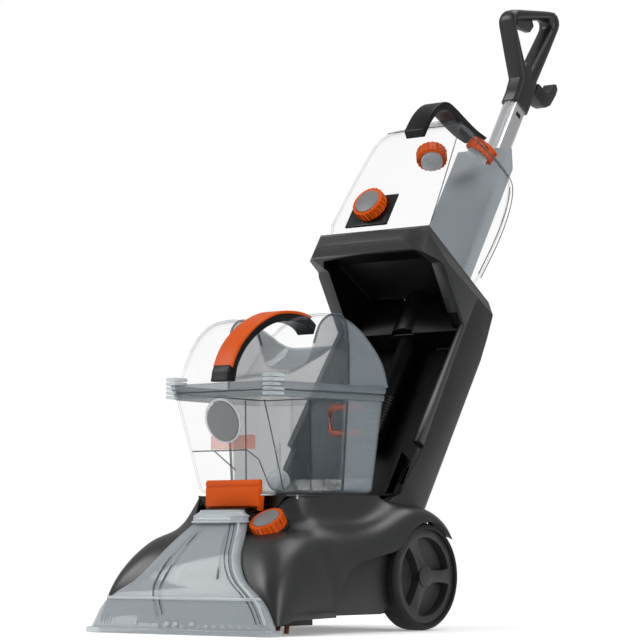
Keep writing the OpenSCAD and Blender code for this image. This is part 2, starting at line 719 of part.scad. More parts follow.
function clean_rings(inset, floor_u, top_u) = [
    clean_ring(floor_u, 93, 95, -161, -19, 14, inset), clean_ring(421, 95, 99, -162.5, -17, 16, inset),
    clean_ring(440, 98, 103, -168, -15.5, 16, inset), clean_ring(520, 90, 107, -168, -14, 17, inset),
    clean_ring(592, 81, 100, -166, -15.5, 18, inset), clean_ring(616, 76, 92, -160, -22, 22, inset),
    clean_ring(632, 69, 78, -148, -30, 24, inset), clean_ring(655, 46, 50, -130, -38, 24, inset),
    clean_ring(top_u, 26, 28, -120, -52, 22, inset)
];

// Frame of one of the two filler necks on the tank's shoulders: Z runs out of the neck.
module filler_frame(s) upright_frame() translate([s * 50, -66, 650]) rotate([0, s * 24, 0]) children();

module clean_tank() color("lightcyan", 0.4) difference() {
    union() {
        upright_frame() difference() {
            loft(clean_rings(0, 413, 669));
            loft(clean_rings(clean_wall, 413 + clean_wall, 669 - clean_wall));
        }
        // sunk wells with the two filler necks
        for (s = [-1, 1]) {
            intersection() {
                upright_frame() loft(clean_rings(0.1, 413, 668.9));
                filler_frame(s) translate([0, 0, -16]) cylinder(50, 28.5, 28.5);
            }
            filler_frame(s) translate([0, 0, -15]) cylinder(11, 17, 17);
        }
        // neck of the front cap
        upright_frame() translate([-16, -182, 459]) rotate([-90, 0, 0]) cylinder(15.5, 19.4, 19.4);
    }
    upright_frame() translate([-16, -184, 459]) rotate([-90, 0, 0]) cylinder(24, 15, 15);
    for (s = [-1, 1]) filler_frame(s) {
        translate([0, 0, -30]) cylinder(60, 14, 14);
        difference() {
            translate([0, 0, -13]) cylinder(50, 26, 26);
            translate([0, 0, -14]) cylinder(10, 17, 17);
        }
    }
}

// Black handle from the tank's front edge over to its back, as (v, u) of its outer face.
carry_curve = [[-172, 606], [-168, 640], [-158, 668], [-142, 684], [-120, 688], [-94, 690], [-62, 694], [-33, 702]];

module carry_handle() color("#1c1d1f") upright_frame() difference() {
    from_to(-18.5, 18.5) polygon(concat(
        carry_curve,
        [[-29, 690], [-26, 640], [-23, 622], [-40, 672], [-64, 683], [-94, 679], [-120, 676.5], [-136, 672],
         [-146, 656], [-150, 645], [-166.4, 606]]
    ));
    loft(clean_rings(-0.2, 413, 669.2));
}

// Dark plate round the front cap's neck.
module solution_panel() color("#1b1c1e") upright_frame() difference() {
    from_to(-56, 22) polygon([[-172, 426], [-168.4, 426], [-168.4, 483], [-171, 483]]);
    translate([-16, -176, 459]) rotate([-90, 0, 0]) cylinder(12, 20, 20);
}

// Frame of the front screw cap: Z runs out of the tank, the origin is the middle of the cap's face.
module solution_frame() upright_frame() translate([-16, -189, 459]) rotate([90, 0, 0]) children();

module solution_cap() color("#d95a1c") solution_frame() knurled_cap(26, 16.4, 20, 10);
module solution_cap_disc() color("#8f9090") solution_frame() translate([0, 0, -3]) cylinder(3, 19.8, 19.8);

module filler_form() {
    knurled_cap(24, 18, 17.4, 13);
    translate([0, 0, -3]) cylinder(2, 17.9, 17.9);
}

module filler_cap_left() color("#d95a1c") filler_frame(1) translate([0, 0, 5]) filler_form();
module filler_cap_right() color("#d95a1c") filler_frame(-1) translate([0, 0, 5]) filler_form();

chassis();
hood();
nozzle_cover();
nozzle_lip();
nozzle_duct();
brush_housing();
spray_bar();
brush_motor();
drive_belt();
solution_pump();
hose_port();
axle_pins();
pivot_trunnions();
hood_screws();
brush_core();
brush_tufts();
motor_pulley();
tank_latch();
port_cap();
port_cap_disc();
tyre_left();
hub_left();
tyre_right();
hub_right();
recline_pedal();
dirty_tank();
tank_gasket();
tank_badge();
standpipe();
tank_lid();
lid_handle_core();
lid_handle_grip();
float();
rear_shell();
cavity_liner();
bezel();
tank_shelf();
spine_cover();
handle_tube();
grip_loop();
vacuum_motor();
motor_housing();
air_duct();
cord_gland();
lower_cord_hook();
upper_cord_hook();
trigger();
push_rod();
power_switch();
clean_tank();
carry_handle();
solution_panel();
filler_cap_left();
filler_cap_right();
solution_cap();
solution_cap_disc();
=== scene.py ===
import json
import math

import bpy
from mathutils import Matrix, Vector

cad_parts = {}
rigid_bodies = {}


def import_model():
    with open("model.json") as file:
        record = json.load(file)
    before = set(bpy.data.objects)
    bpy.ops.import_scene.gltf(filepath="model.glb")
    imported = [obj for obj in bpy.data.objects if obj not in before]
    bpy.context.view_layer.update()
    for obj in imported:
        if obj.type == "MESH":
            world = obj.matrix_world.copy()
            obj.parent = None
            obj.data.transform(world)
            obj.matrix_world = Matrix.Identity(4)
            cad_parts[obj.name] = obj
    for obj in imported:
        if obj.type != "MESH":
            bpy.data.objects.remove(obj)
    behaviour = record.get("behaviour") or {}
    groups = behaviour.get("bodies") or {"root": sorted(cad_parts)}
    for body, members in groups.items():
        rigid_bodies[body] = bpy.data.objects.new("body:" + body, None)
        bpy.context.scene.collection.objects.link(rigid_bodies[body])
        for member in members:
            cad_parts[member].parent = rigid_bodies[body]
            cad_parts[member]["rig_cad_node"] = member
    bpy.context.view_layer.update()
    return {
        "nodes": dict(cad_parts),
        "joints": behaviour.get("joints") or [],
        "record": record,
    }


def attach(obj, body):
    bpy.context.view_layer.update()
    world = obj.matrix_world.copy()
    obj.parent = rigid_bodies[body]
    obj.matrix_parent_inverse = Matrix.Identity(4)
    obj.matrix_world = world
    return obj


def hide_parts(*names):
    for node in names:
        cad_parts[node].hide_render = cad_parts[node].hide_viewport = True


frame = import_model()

record = frame["record"]
joints = {joint["name"]: joint for joint in frame["joints"]}
body_of = {node: body for body, nodes in record["behaviour"]["bodies"].items() for node in nodes}
slot_of = {part["node"]: part["material_slot"] for part in record["subparts"]}

# ---- places ----

PIVOT = Vector(joints["recline"]["pos_m"])
HANDLE_UP = Vector(joints["push_rod_slide"]["axis"]).normalized()
HANDLE_BACK = Vector((0, HANDLE_UP.z, -HANDLE_UP.y))
PIVOT_DEPTH = 0.352  # from the lip's front edge back to the upright's pivot
MM = 0.001
SIDES = ((1, "left"), (-1, "right"))


def on_side(side, near, far):
    """The span between two distances from the middle, on the left (1) or the right (-1)."""
    return (near, far) if side > 0 else (-far, -near)


def on_base(x, y, z):
    """A point of the base, in millimetres behind the lip's front edge, as a place in the frame."""
    return Vector((x * MM, PIVOT.y - PIVOT_DEPTH + y * MM, z * MM))


def on_upright(x, back, up):
    """A point of the upright, in millimetres behind and up from its pivot, as a place in the frame."""
    return PIVOT + Vector((x * MM, 0, 0)) + HANDLE_BACK * (back * MM) + HANDLE_UP * (up * MM)


def smooth_line(points, steps=4):
    """Points of a smooth curve through the given ones."""
    result = []
    last = len(points) - 1
    for i in range(last):
        p0 = points[max(i - 1, 0)]
        p1, p2 = points[i], points[i + 1]
        p3 = points[min(i + 2, last)]
        for k in range(steps):
            t = k / steps
            result.append(tuple(
                0.5 * (2 * b + (c - a) * t + (2 * a - 5 * b + 4 * c - d) * t * t
                       + (3 * b - a - 3 * c + d) * t ** 3)
                for a, b, c, d in zip(p0, p1, p2, p3)
            ))
    result.append(tuple(points[-1]))
    return result


# ---- materials ----

ABS_IOR = 1.5
STYRENE_IOR = 1.49


def linear(code, alpha=1.0):
    """sRGB hex to the renderer's linear colour."""
    parts = [int(code[i:i + 2], 16) / 255 for i in (1, 3, 5)]
    return [c / 12.92 if c <= 0.04045 else ((c + 0.055) / 1.055) ** 2.4 for c in parts] + [alpha]


def add(tree, kind, settings=None, links=None):
    """Adds a node, sets its properties and sockets, and links other sockets into it."""
    node = tree.nodes.new(kind)
    for key, value in (settings or {}).items():
        if isinstance(key, str) and hasattr(node, key):
            setattr(node, key, value)
        else:
            node.inputs[key].default_value = value
    for key, socket in (links or {}).items():
        tree.links.new(socket, node.inputs[key])
    return node


def new_material(name):
    """An empty material and its node tree."""
    material = bpy.data.materials.new(name)
    material.use_nodes = True
    material.node_tree.nodes.clear()
    return material, material.node_tree


def moulded(name, code, roughness, grain_mm=1.2, depth=0.05, mottle=0.06, gloss=0.5):
    """Injection-moulded plastic: an even colour with slight flow marks and a fine spark-eroded grain."""
    material, tree = new_material(name)
    place = add(tree, "ShaderNodeTexCoord").outputs["Object"]
    flow = add(tree, "ShaderNodeTexNoise", {"Scale": 14.0, "Detail": 3.0}, {"Vector": place})
    grain = add(tree, "ShaderNodeTexNoise", {"Scale": 1.0 / (grain_mm * MM), "Detail": 2.0},
                {"Vector": place})
    light = linear(code)
    dark = [c * (1 - mottle) for c in light[:3]] + [1]
    pale = [min(1, c * (1 + mottle)) for c in light[:3]] + [1]
    tint = add(tree, "ShaderNodeMix", {"data_type": "RGBA", 6: dark, 7: pale},
               {"Factor": flow.outputs["Fac"]})
    rough = add(tree, "ShaderNodeMapRange",
                {"From Min": 0.3, "From Max": 0.7, "To Min": roughness - 0.04, "To Max": roughness + 0.05},
                {"Value": flow.outputs["Fac"]})
    bump = add(tree, "ShaderNodeBump", {"Strength": depth, "Distance": 0.0003},
               {"Height": grain.outputs["Fac"]})
    shader = add(tree, "ShaderNodeBsdfPrincipled", {"IOR": ABS_IOR, "Specular IOR Level": gloss},
                 {"Base Color": tint.outputs[2], "Roughness": rough.outputs["Result"],
                  "Normal": bump.outputs["Normal"]})
    add(tree, "ShaderNodeOutputMaterial", None, {"Surface": shader.outputs["BSDF"]})
    return material


def clear_moulded(name, code, facing, grazing, curve, far_wall=None):
    """Clear styrene: nearly invisible seen square on, and darker and glossy where it turns away.

    A far wall, given as its colour, its cover and its depth in millimetres, turns smoky behind that
    depth, where two moulded walls lie behind each other.
    """
    material, tree = new_material(name)
    place = add(tree, "ShaderNodeTexCoord").outputs["Object"]
    flow = add(tree, "ShaderNodeTexNoise", {"Scale": 9.0, "Detail": 2.0}, {"Vector": place})
    weight = add(tree, "ShaderNodeLayerWeight", {"Blend": 0.5})
    steep = add(tree, "ShaderNodeMath", {"operation": "POWER", 1: curve}, {0: weight.outputs["Facing"]})
    cover = add(tree, "ShaderNodeMapRange", {"To Min": facing, "To Max": grazing},
                {"Value": steep.outputs[0]})
    rough = add(tree, "ShaderNodeMapRange", {"To Min": 0.03, "To Max": 0.09}, {"Value": flow.outputs["Fac"]})
    shader = add(tree, "ShaderNodeBsdfPrincipled", {"IOR": STYRENE_IOR, "Base Color": linear(code)},
                 {"Roughness": rough.outputs["Result"], "Alpha": cover.outputs["Result"]})
    add(tree, "ShaderNodeOutputMaterial", None, {"Surface": shader.outputs["BSDF"]})
    if not far_wall:
        bump = add(tree, "ShaderNodeBump", {"Strength": 0.05, "Distance": 0.001},
                   {"Height": flow.outputs["Fac"]})
        tree.links.new(bump.outputs["Normal"], shader.inputs["Normal"])
        return material

    far_code, far_facing, depth_mm = far_wall
    edge = on_base(0, depth_mm, 0).y
    parts = add(tree, "ShaderNodeSeparateXYZ", None, {"Vector": place})
    behind = add(tree, "ShaderNodeMapRange", {"From Min": edge - MM, "From Max": edge + MM},
                 {"Value": parts.outputs["Y"]}).outputs["Result"]
    tint = add(tree, "ShaderNodeMix", {"data_type": "RGBA", 6: linear(code), 7: linear(far_code)},
               {"Factor": behind})
    least = add(tree, "ShaderNodeMapRange", {"To Min": facing, "To Max": far_facing}, {"Value": behind})
    tree.links.new(tint.outputs[2], shader.inputs["Base Color"])
    tree.links.new(least.outputs["Result"], cover.inputs["To Min"])
    return material


# The upright's recess, where painted shade goes, as limits in millimetres: a wide room below and a narrower
# one in the crown.
RECESS = (
    (("across", "LESS_THAN", 114.4), ("up", "LESS_THAN", 340), ("back", "LESS_THAN", 10.4)),
    (("across", "LESS_THAN", 97.4), ("up", "LESS_THAN", 398.6), ("back", "GREATER_THAN", -168.5),
     ("back", "LESS_THAN", 10.4)),
)


def moulded_with_painted_recess_shade(name, code, roughness):
    """Satin ABS for the upright's frame, with painted shade in its recess: near-black there, with its
    specular shine turned down.
    """
    material = moulded(name, code, roughness)
    tree = material.node_tree
    shader = next(node for node in tree.nodes if node.type == "BSDF_PRINCIPLED")
    outside = shader.inputs["Base Color"].links[0].from_socket
    place = add(tree, "ShaderNodeTexCoord").outputs["Object"]

    measured = {}
    for word, axis in (("up", HANDLE_UP), ("back", HANDLE_BACK)):
        reach = add(tree, "ShaderNodeVectorMath", {"operation": "DOT_PRODUCT", 1: axis}, {0: place})
        measured[word] = add(tree, "ShaderNodeMath", {"operation": "SUBTRACT", 1: PIVOT.dot(axis)},
                             {0: reach.outputs["Value"]}).outputs[0]
    parts = add(tree, "ShaderNodeSeparateXYZ", None, {"Vector": place})
    measured["across"] = add(tree, "ShaderNodeMath", {"operation": "ABSOLUTE"},
                             {0: parts.outputs["X"]}).outputs[0]
    rooms = []
    for limits in RECESS:
        tests = [add(tree, "ShaderNodeMath", {"operation": kind, 1: limit * MM}, {0: measured[word]})
                 for word, kind, limit in limits]
        room = tests[0].outputs[0]
        for further in tests[1:]:
            room = add(tree, "ShaderNodeMath", {"operation": "MULTIPLY"},
                       {0: room, 1: further.outputs[0]}).outputs[0]
        rooms.append(room)
    inside = add(tree, "ShaderNodeMath", {"operation": "MAXIMUM"}, {0: rooms[0], 1: rooms[1]}).outputs[0]
    # Painted shade: inside the recess the colour is swapped for near-black, as if the recess lay in shadow.
    painted_recess_shade = add(tree, "ShaderNodeMix", {"data_type": "RGBA", 7: linear("#070708")},
                {"Factor": inside, 6: outside})
    tree.links.new(painted_recess_shade.outputs[2], shader.inputs["Base Color"])
    # Painted shade: inside the recess most of the specular shine is taken away.
    shine = add(tree, "ShaderNodeMapRange", {"To Min": 0.5, "To Max": 0.12}, {"Value": inside})
    tree.links.new(shine.outputs["Result"], shader.inputs["Specular IOR Level"])
    return material


def metal(name, code, roughness, stretch, grain_mm=0.8):
    """Bright metal with the fine lines of drawing or plating."""
    material, tree = new_material(name)
    place = add(tree, "ShaderNodeTexCoord").outputs["Object"]
    lean = math.atan2(HANDLE_UP.y, HANDLE_UP.z)
    along = add(tree, "ShaderNodeMapping",
                {"vector_type": "POINT", "Rotation": (lean, 0, 0), "Scale": (1, 1, stretch)},
                {"Vector": place})
    lines = add(tree, "ShaderNodeTexNoise", {"Scale": 1.0 / (grain_mm * MM), "Detail": 2.0},
                {"Vector": along.outputs["Vector"]})
    rough = add(tree, "ShaderNodeMapRange", {"To Min": roughness - 0.06, "To Max": roughness + 0.08},
                {"Value": lines.outputs["Fac"]})
    bump = add(tree, "ShaderNodeBump", {"Strength": 0.08, "Distance": 0.0001},
               {"Height": lines.outputs["Fac"]})
    shader = add(tree, "ShaderNodeBsdfPrincipled", {"Base Color": linear(code), "Metallic": 1.0},
                 {"Roughness": rough.outputs["Result"], "Normal": bump.outputs["Normal"]})
    add(tree, "ShaderNodeOutputMaterial", None, {"Surface": shader.outputs["BSDF"]})
    return material


finishes = {
    # Spark-eroded ABS skins: a satin sheen that spreads the light along every edge.
    "hood_plastic": moulded("satin_abs_graphite", "#1c1d1e", 0.34),
    # The frame carries painted shade in the upright's recess.
    "frame_plastic": moulded_with_painted_recess_shade("satin_abs_frame_grey", "#232425", 0.36),
    # Unpolished ABS with hardly any shine, so inner mouldings sink behind the skins.
    "dark_plastic": moulded("moulded_abs_black", "#060607", 0.38, gloss=0.25),
    # The shell also carries painted shade in the upright's recess.
    "shell_plastic": moulded_with_painted_recess_shade("moulded_abs_charcoal", "#121314", 0.40),
    # Fine-grained and pale, so it reads as a smooth cover beside the dark shell.
    "spine_plastic": moulded("satin_abs_light_grey", "#8a9196", 0.42, depth=0.02, mottle=0.03, gloss=0.35),
    # Glass-filled nylon: a coarser grain for the hand, with broken highlights.
    "handle_plastic": moulded("grained_nylon_charcoal", "#0f1011", 0.36, grain_mm=0.9, depth=0.08),
    "wheel_plastic": moulded("moulded_nylon_wheel_grey", "#1b1c1d", 0.44),
    # Strongly pigmented ABS: full colour with little gloss over it.
    "orange_plastic": moulded("satin_abs_orange", "#cb4e00", 0.42, gloss=0.18),
    "disc_plastic": moulded("satin_abs_disc_grey", "#6f7072", 0.42),
    # Polished styrene: see-through on the flat, and bright or smoky at its edges.
    "clear_plastic": clear_moulded("clear_styrene", "#58626a", 0.012, 0.92, 7.0),
    "smoke_plastic": clear_moulded("clear_nozzle_styrene", "#b3babe", 0.40, 0.95, 2.4),
    # Moulded rubber, silicone and fibre: matt and soft at the edges.
    "tyre_rubber": moulded("tyre_rubber_black", "#060607", 0.62, grain_mm=1.6, depth=0.15, gloss=0.35),
    "seal_rubber": moulded("grey_silicone_seal", "#4d5357", 0.5),
    "tuft_fibre": moulded("nylon_bristle_rust", "#6e2410", 0.6, grain_mm=0.8, depth=0.5, mottle=0.25),
    # Drawn or plated metal: bright bands with fine lines in them.
    "anodised_tube": metal("satin_anodised_aluminium", "#d6d7d9", 0.30, 0.03),
    "zinc_steel": metal("zinc_plated_steel", "#b8babc", 0.28, 1.0),
    "motor_case": metal("plated_motor_can", "#8f9194", 0.42, 1.0),
}
clear_tinted = clear_moulded("clear_styrene_edge", "#2f373d", 0.55, 0.97, 1.4)
clear_pale = clear_moulded("clear_styrene_bright_edge", "#c9d1d5", 0.45, 0.95, 1.6)
clear_rim = clear_moulded("clear_styrene_thick_rim", "#6b757b", 0.42, 0.92, 1.8)
amber_clear = clear_moulded("clear_orange_styrene", "#d8602e", 0.30, 0.70, 2.0)
tank_clear = clear_moulded("clear_styrene_tank", "#58626a", 0.012, 0.92, 7.0, ("#858f96", 0.40, 232))

for node, thing in frame["nodes"].items():
    thing.data.materials.clear()
    thing.data.materials.append(finishes[slot_of[node]])

# ---- modelling helpers ----


def deselect():
    """Leaves edit mode and deselects everything."""
    if bpy.context.view_layer.objects.active and bpy.context.view_layer.objects.active.mode != "OBJECT":
        bpy.ops.object.mode_set(mode="OBJECT")
    bpy.ops.object.select_all(action="DESELECT")


def hold(piece):
    """Makes a piece the only one selected."""
    deselect()
    piece.select_set(True)
    bpy.context.view_layer.objects.active = piece


def in_edit(piece, *steps):
    """Runs edit-mode steps on the whole of a piece."""
    hold(piece)
    bpy.ops.object.mode_set(mode="EDIT")
    bpy.ops.mesh.select_all(action="SELECT")
    for step in steps:
        step()
    bpy.ops.object.mode_set(mode="OBJECT")


def modify(piece, kind, **settings):
    """Adds a modifier and applies it."""
    hold(piece)
    modifier = piece.modifiers.new(kind.lower(), kind)
    for key, value in settings.items():
        setattr(modifier, key, value)
    bpy.ops.object.modifier_apply(modifier=modifier.name)


def finished(piece, name, body, slot, material=None, angle=38):
    """Names a piece, gives it its finish and sets it on its body."""
    piece.name = name
    hold(piece)
    bpy.ops.object.shade_smooth_by_angle(angle=math.radians(angle))
    piece.data.materials.clear()
    piece.data.materials.append(material or finishes[slot])
    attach(piece, body)
    return piece


def sheet_of(rows, closed=False):
    """A sheet through rows of points; closed joins each row's ends."""
    rows = [list(row) + [row[0]] if closed else list(row) for row in rows]
    deep, wide = len(rows), len(rows[0])
    deselect()
    bpy.ops.mesh.primitive_grid_add(x_subdivisions=wide - 1, y_subdivisions=deep - 1, size=2)
    piece = bpy.context.object
    for vertex in piece.data.vertices:
        i = round((vertex.co.x + 1) / 2 * (wide - 1))
        j = round((vertex.co.y + 1) / 2 * (deep - 1))
        vertex.co = rows[j][i]
    in_edit(piece, lambda: bpy.ops.mesh.remove_doubles(threshold=0.00002),
            lambda: bpy.ops.mesh.dissolve_degenerate(threshold=0.00001),
            lambda: bpy.ops.mesh.select_all(action="SELECT"),
            lambda: bpy.ops.mesh.normals_make_consistent(inside=False))
    return piece


def walled(piece, thickness, levels=0):
    """Subdivides a sheet and gives it a wall on its inner side."""
    if levels:
        modify(piece, "SUBSURF", levels=levels, render_levels=levels, boundary_smooth="PRESERVE_CORNERS")
    modify(piece, "SOLIDIFY", thickness=thickness * MM, offset=-1.0, use_even_offset=True,
           thickness_clamp=1.0)
    return piece


def extruded(points, width_from, width_to, place, bevel=0.0, segments=3):
    """A flat outline pulled across the machine, with its edges rounded."""
    deselect()
    bpy.ops.mesh.primitive_circle_add(vertices=len(points), radius=1, fill_type="NGON")
    piece = bpy.context.object
    for vertex, (a, b) in zip(piece.data.vertices, points):
        vertex.co = place(width_from, a, b)
    reach = ((width_to - width_from) * MM, 0, 0)
    in_edit(piece, lambda: bpy.ops.mesh.extrude_region_move(TRANSFORM_OT_translate={"value": reach}),
            lambda: bpy.ops.mesh.select_all(action="SELECT"),
            lambda: bpy.ops.mesh.normals_make_consistent(inside=False))
    if bevel:
        modify(piece, "BEVEL", width=bevel * MM, segments=segments, limit_method="ANGLE",
               angle_limit=math.radians(32), use_clamp_overlap=True)
    return piece


def tube(path, radius, around=10):
    """A round bar along a path of places."""
    path = [Vector(p) for p in path]
    rows = []
    for i, here in enumerate(path):
        ahead = (path[min(i + 1, len(path) - 1)] - path[max(i - 1, 0)]).normalized()
        side = ahead.cross(Vector((0, 0, 1)))
        if side.length < 0.1:
            side = ahead.cross(Vector((1, 0, 0)))
        side.normalize()
        up = side.cross(ahead)
        rows.append([here + radius * MM * (side * math.cos(t) + up * math.sin(t))
                     for t in (2 * math.pi * k / around for k in range(around))])
    rows = [[path[0]] * around] + rows + [[path[-1]] * around]
    return sheet_of(rows, closed=True)


def rounded_line(place, height, front, back, y0, y1, radius, fine):
    """A level outline with round corners; front and back are its half widths at each end."""
    line = []
    for quarter in range(4):
        half = back if quarter < 2 else front
        sign = 1 if quarter in (0, 3) else -1
        centre = y1 - radius if quarter < 2 else y0 + radius
        for i in range(fine + 1):
            a = math.radians(90 * quarter + 90 * i / fine)
            line.append(place(sign * (half - radius) + radius * math.cos(a),
                              centre + radius * math.sin(a), height))
    return line


def middle(line):
    """The middle of an outline, once for each of its points, to close a sheet's end."""
    return [sum(line, Vector()) / len(line)] * len(line)


def between(table, at):
    """The value at a place between the rows of a table."""
    for (a, low), (b, high) in zip(table, table[1:]):
        if at <= b:
            return low + (high - low) * (at - a) / (b - a)
    return table[-1][1]


# Inner and outer radii in millimetres, in the CAD and as shown: a thin tyre band on a wide hub.
WHEEL_RADII = {"hub": ((16, 57.9), (12, 66.4)), "tyre": ((58, 75), (66.5, 75))}


def widened(piece, old, new):
    """Moves a wheel part's inner and outer radii, measured from the axle, to new ones."""
    axle = Vector(joints["wheel_left_spin"]["pos_m"])
    for vertex in piece.data.vertices:
        arm = Vector((0, vertex.co.y - axle.y, vertex.co.z - axle.z))
        radius = arm.length / MM
        if radius > old[0] - 0.01:
            share = (radius - old[0]) / (old[1] - old[0])
            wanted = new[0] + share * (new[1] - new[0])
            vertex.co = Vector((vertex.co.x, axle.y, axle.z)) + arm * (wanted / radius)


def softened(node, name, edge, material=None):
    """A CAD part with its edges rounded as the moulded one's are."""
    hold(frame["nodes"][node])
    bpy.ops.object.duplicate()
    piece = bpy.context.object
    del piece["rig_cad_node"]
    kind = node.split("_")[0]
    if kind in WHEEL_RADII:
        widened(piece, *WHEEL_RADII[kind])
    in_edit(piece, lambda: bpy.ops.mesh.remove_doubles(threshold=0.00001),
            lambda: bpy.ops.mesh.dissolve_limited(angle_limit=math.radians(0.5)))
    if edge:
        modify(piece, "BEVEL", width=edge * MM, segments=2, limit_method="ANGLE",
               angle_limit=math.radians(30), use_clamp_overlap=True, harden_normals=False)
    finished(piece, name, body_of[node], slot_of[node], material)
    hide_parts(node)
    return piece


# ---- hood ----

SEAT, RIM = 188.0, 329.0  # heights of the tank's floor and of its rim

# Stations from the lip's corner to the tail, each from the inner edge out and down to the skirt's edge.
HOOD = [
    [(158, 22, 14), (159, 22, 14), (160.5, 22.5, 14), (162, 25, 14), (163, 34, 15), (163, 44, 17)],
    [(141, 23, 44), (145, 23, 46), (150, 25, 48), (158, 34, 50), (163, 52, 42), (163, 62, 21)],
    [(121, 25, 58), (128, 26, 64), (136, 29, 72), (152, 44, 78), (161, 70, 62), (162, 84, 22)],
    [(100, 33, 71), (110, 35, 82), (122, 41, 93), (146, 60, 100), (159, 92, 76), (161, 108, 22)],
    [(84, 42, 87), (97, 48, 102), (112, 57, 112), (142, 80, 118), (157, 112, 84), (160, 128, 23)],
    [(66, 58, 110), (86, 70, 124), (106, 82, 131), (139, 104, 129), (155, 130, 88), (158, 143, 25)],
    [(50, 84, 134), (74, 98, 137), (102, 108, 138), (138, 128, 133), (153, 138, 92), (157, 148, 30)],
    [(48, 106, 138), (76, 116, 139), (106, 126, 139), (138, 144, 134.5), (153, 146, 97), (157, 155, 46)],
    [(48, 132, 150), (74, 134, 158), (102, 140, 152), (138, 156, 135.5), (154, 156, 104), (157, 164, 66)],
    [(80, 136, 187), (93, 140, 172), (110, 150, 150), (139, 172, 136), (156, 170, 112), (158, 176, 83)],
    [(96, 160, 188), (103, 163, 170), (116, 172, 147), (141, 190, 136), (157, 190, 117), (159, 190, 92)],
    [(105, 215, 188), (110, 216, 169), (121, 220, 146), (143, 222, 138), (158, 222, 120), (160, 212, 99)],
    [(110, 262, 188), (115, 262, 172), (125, 262, 152), (146, 262, 147), (160, 262, 128), (162, 259, 107)],
    [(113, 293, 188), (119, 295, 181), (130, 298, 170), (149, 300, 164), (161, 298, 142), (163, 288, 113)],
    [(122, 312, 178), (128, 314, 177), (137, 316, 175), (152, 320, 170), (162, 318, 157), (163, 306, 138)],
    [(124, 345, 177), (130, 346, 177), (138, 347, 176), (153, 347, 172), (162, 346, 163), (163, 340, 153)],
    [(124, 378, 168), (130, 378, 168.5), (138, 378, 168), (153, 377, 164), (162, 372, 157.5),
     (163, 366, 153)],
    [(124, 402, 150), (130, 403, 150), (138, 403, 149.5), (153, 402, 147.5), (162, 396, 143),
     (163, 388, 141)],
    [(124, 411, 133), (130, 412, 133), (138, 412, 132.5), (153, 411, 131.5), (162, 406, 128),
     (163, 402, 127)],
]
# On the side with no hose port the shoulder is fuller in front of the tank.
FULL_SHOULDER = {
    7: [(58, 106, 156), (80, 112, 155), (106, 126, 145)],
    8: [(70, 122, 176), (88, 128, 168), (104, 140, 153)],
}


def hood_side(side, name):
    """One half of the hood, as a wall through its stations."""
    rows = []
    for i, station in enumerate(HOOD):
        line = list(station)
        if side < 0 and i in FULL_SHOULDER:
            line[:3] = FULL_SHOULDER[i]
        rows.append([on_base(side * x, y, z) for x, y, z in line])
    piece = walled(sheet_of(rows), 2.6, levels=2)
    return finished(piece, name, "base", "hood_plastic", angle=60)


hood_left = hood_side(1, "hood_left_half")
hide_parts("hood")
hood_side(-1, "hood_right_half")

seat_rows = []
for half, depth in ((80, 136), (96, 160), (105, 215), (110, 262), (113, 293), (113, 300)):
    seat_rows.append([on_base(half * t, depth, SEAT - 1.5 * (t * t < 0.99))
                      for t in (-1, -0.96, -0.5, 0, 0.5, 0.96, 1)])
finished(walled(sheet_of(seat_rows), 2.6), "tank_seat", "base", "hood_plastic")
front_rows = []
for half, depth, height in ((48, 100, 136), (48, 112, 139), (50, 128, 150), (66, 133, 170), (80, 136, 187)):
    front_rows.append([on_base(half * t, depth, height) for t in (-1, -0.5, 0, 0.5, 1)])
finished(walled(sheet_of(front_rows), 2.4), "seat_front_wall", "base", "dark_plastic")

LINER = [(147, 24), (262, 24), (290, 40), (300, 62), (296, 112), (262, 111), (205, 101), (172, 86),
         (156, 60)]
STRIP = [(50, 20), (143, 22), (143, 31), (50, 30)]
for side, word in SIDES:
    liner = extruded(LINER, *on_side(side, 140, 147), on_base, bevel=2)
    finished(liner, "side_liner_" + word, "base", "dark_plastic", finishes["shell_plastic"])
    strip = extruded(STRIP, *on_side(side, 160, 163.6), on_base, bevel=1)
    finished(strip, "skirt_strip_" + word, "base", "hood_plastic")

# ---- dirty-water tank ----


# Half width in front and at the back, front and back of the tank, at its seat and at its rim.
TANK_AT_SEAT = (78, 109, 129, 297)
TANK_AT_RIM = (94, 114, 92, 318)
TANK_CORNER = 16.0


def tank_line(height, inset=0.0, fill=0.0):
    """The tank's outline at a height, drawn in by an inset that its corners follow or by a fill."""
    t = (height - SEAT) / (RIM - SEAT)
    front, back, y0, y1 = (low + (high - low) * t for low, high in zip(TANK_AT_SEAT, TANK_AT_RIM))
    less = inset + fill
    return rounded_line(on_base, height, front - less, back - less, y0 + less, y1 - less,
                        max(TANK_CORNER - inset, 3), 7)


floor_line = tank_line(190.4, fill=6)
tank_rows = [middle(floor_line), floor_line, tank_line(192.5, fill=2)]
tank_rows += [tank_line(height) for height in (196, 222, 249, 285, 320)]
tank_body = walled(sheet_of(tank_rows, closed=True), 2.5)
finished(tank_body, "dirty_tank_body", "dirty_tank", "clear_plastic", tank_clear, 50)
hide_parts("dirty_tank")


def band(bottom, top, outer, inner, name, body, slot, material=None):
    """A closed band round the tank's rim."""
    soft = min(0.8, (top - bottom) / 3)
    rows = [tank_line(bottom, inner), tank_line(bottom, outer + soft), tank_line(bottom + soft, outer),
            tank_line(top - soft, outer), tank_line(top, outer + soft), tank_line(top, inner)]
    rows.append(rows[0])
    return finished(sheet_of(rows, closed=True), name, body, slot, material, angle=50)


band(320.5, 328.8, -2.4, 2.4, "rim_flange", "dirty_tank", "clear_plastic", clear_rim)
seal = band(329.0, 330.6, -0.8, 2.4, "rim_seal", "dirty_tank", "seal_rubber")
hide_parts("tank_gasket")
band(331.0, 341.0, -3.4, 2.2, "lid_flange", "tank_lid", "clear_plastic", clear_rim)

